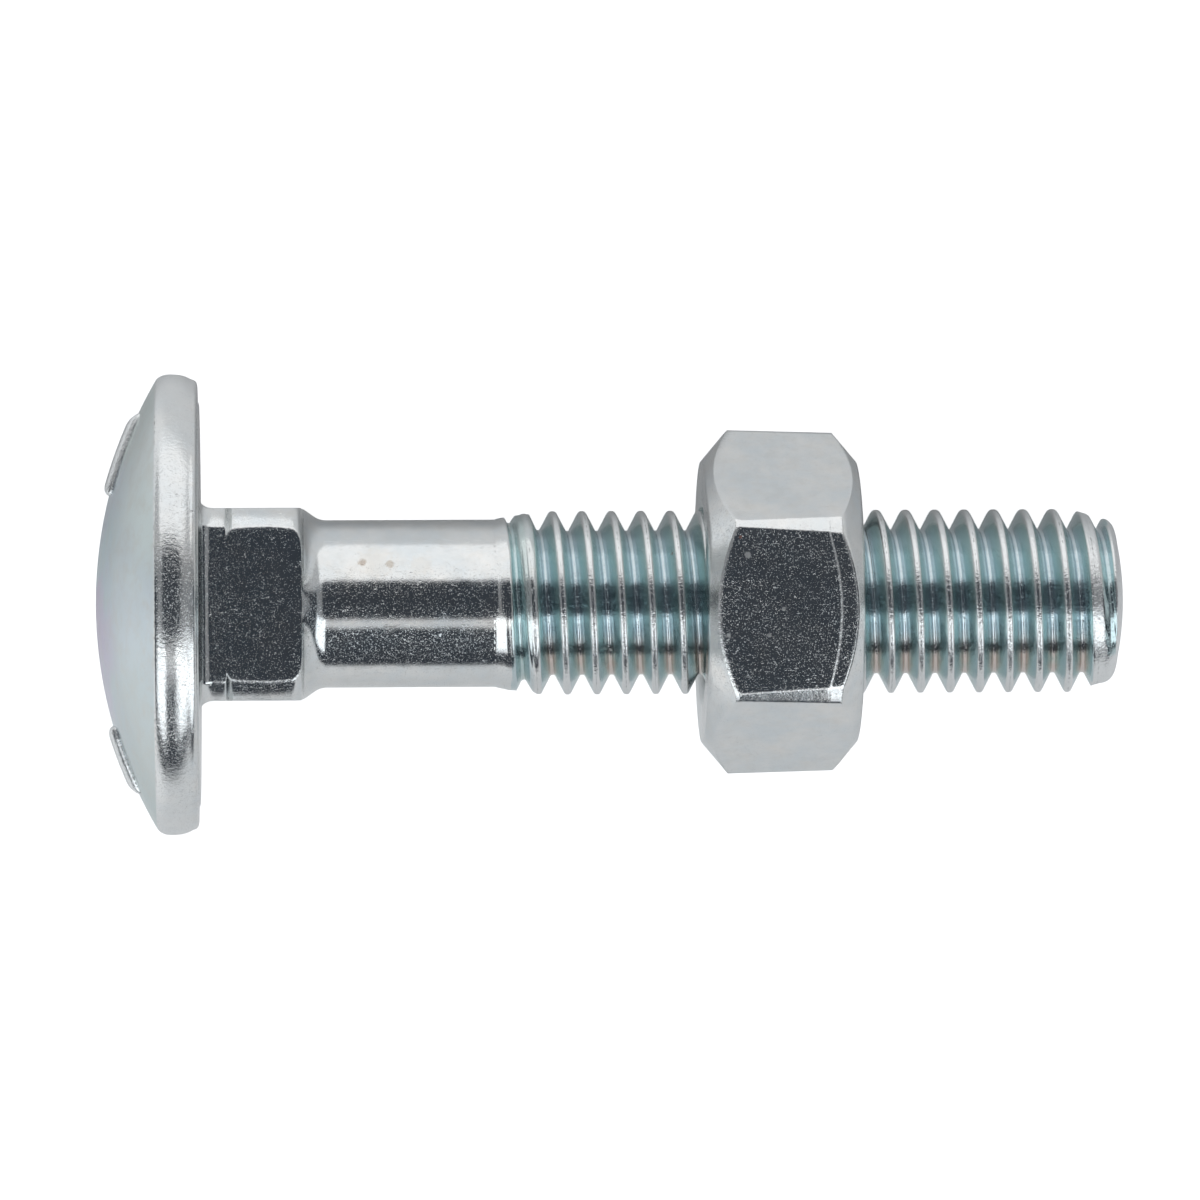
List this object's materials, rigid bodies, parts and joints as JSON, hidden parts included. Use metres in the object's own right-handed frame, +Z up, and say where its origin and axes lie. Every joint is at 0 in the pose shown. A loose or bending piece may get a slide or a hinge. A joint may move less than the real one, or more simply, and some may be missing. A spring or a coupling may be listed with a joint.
{
  "type": "carriage bolt",
  "caption": "Zinc-plated steel carriage bolt with a low domed head, a square neck under it and a partly threaded shank, with a hex nut that runs along the thread.",
  "frame": {"origin": "centre of the bearing face under the head, on the bolt's axis", "axes": "+X along the floor from the head to the threaded end, +Z up; the axis dips 6.7 degrees to the threaded end, because the pair lies on the head's rim and on one flat of the nut"},
  "size_m": [0.0435, 0.0194, 0.0194],
  "materials": {
    "zinc_plate": "bright zinc plate with a faint blue passivation"
  },
  "bodies": {
    "bolt": {"bolt": "zinc_plate"},
    "nut": {"nut": "zinc_plate"}
  },
  "joints": [
    {"name": "nut_travel", "type": "slide", "parent": "bolt", "child": "nut", "axis": [0.9932, 0, -0.1166], "range_m": [-0.0075, 0.01625]}
  ]
}
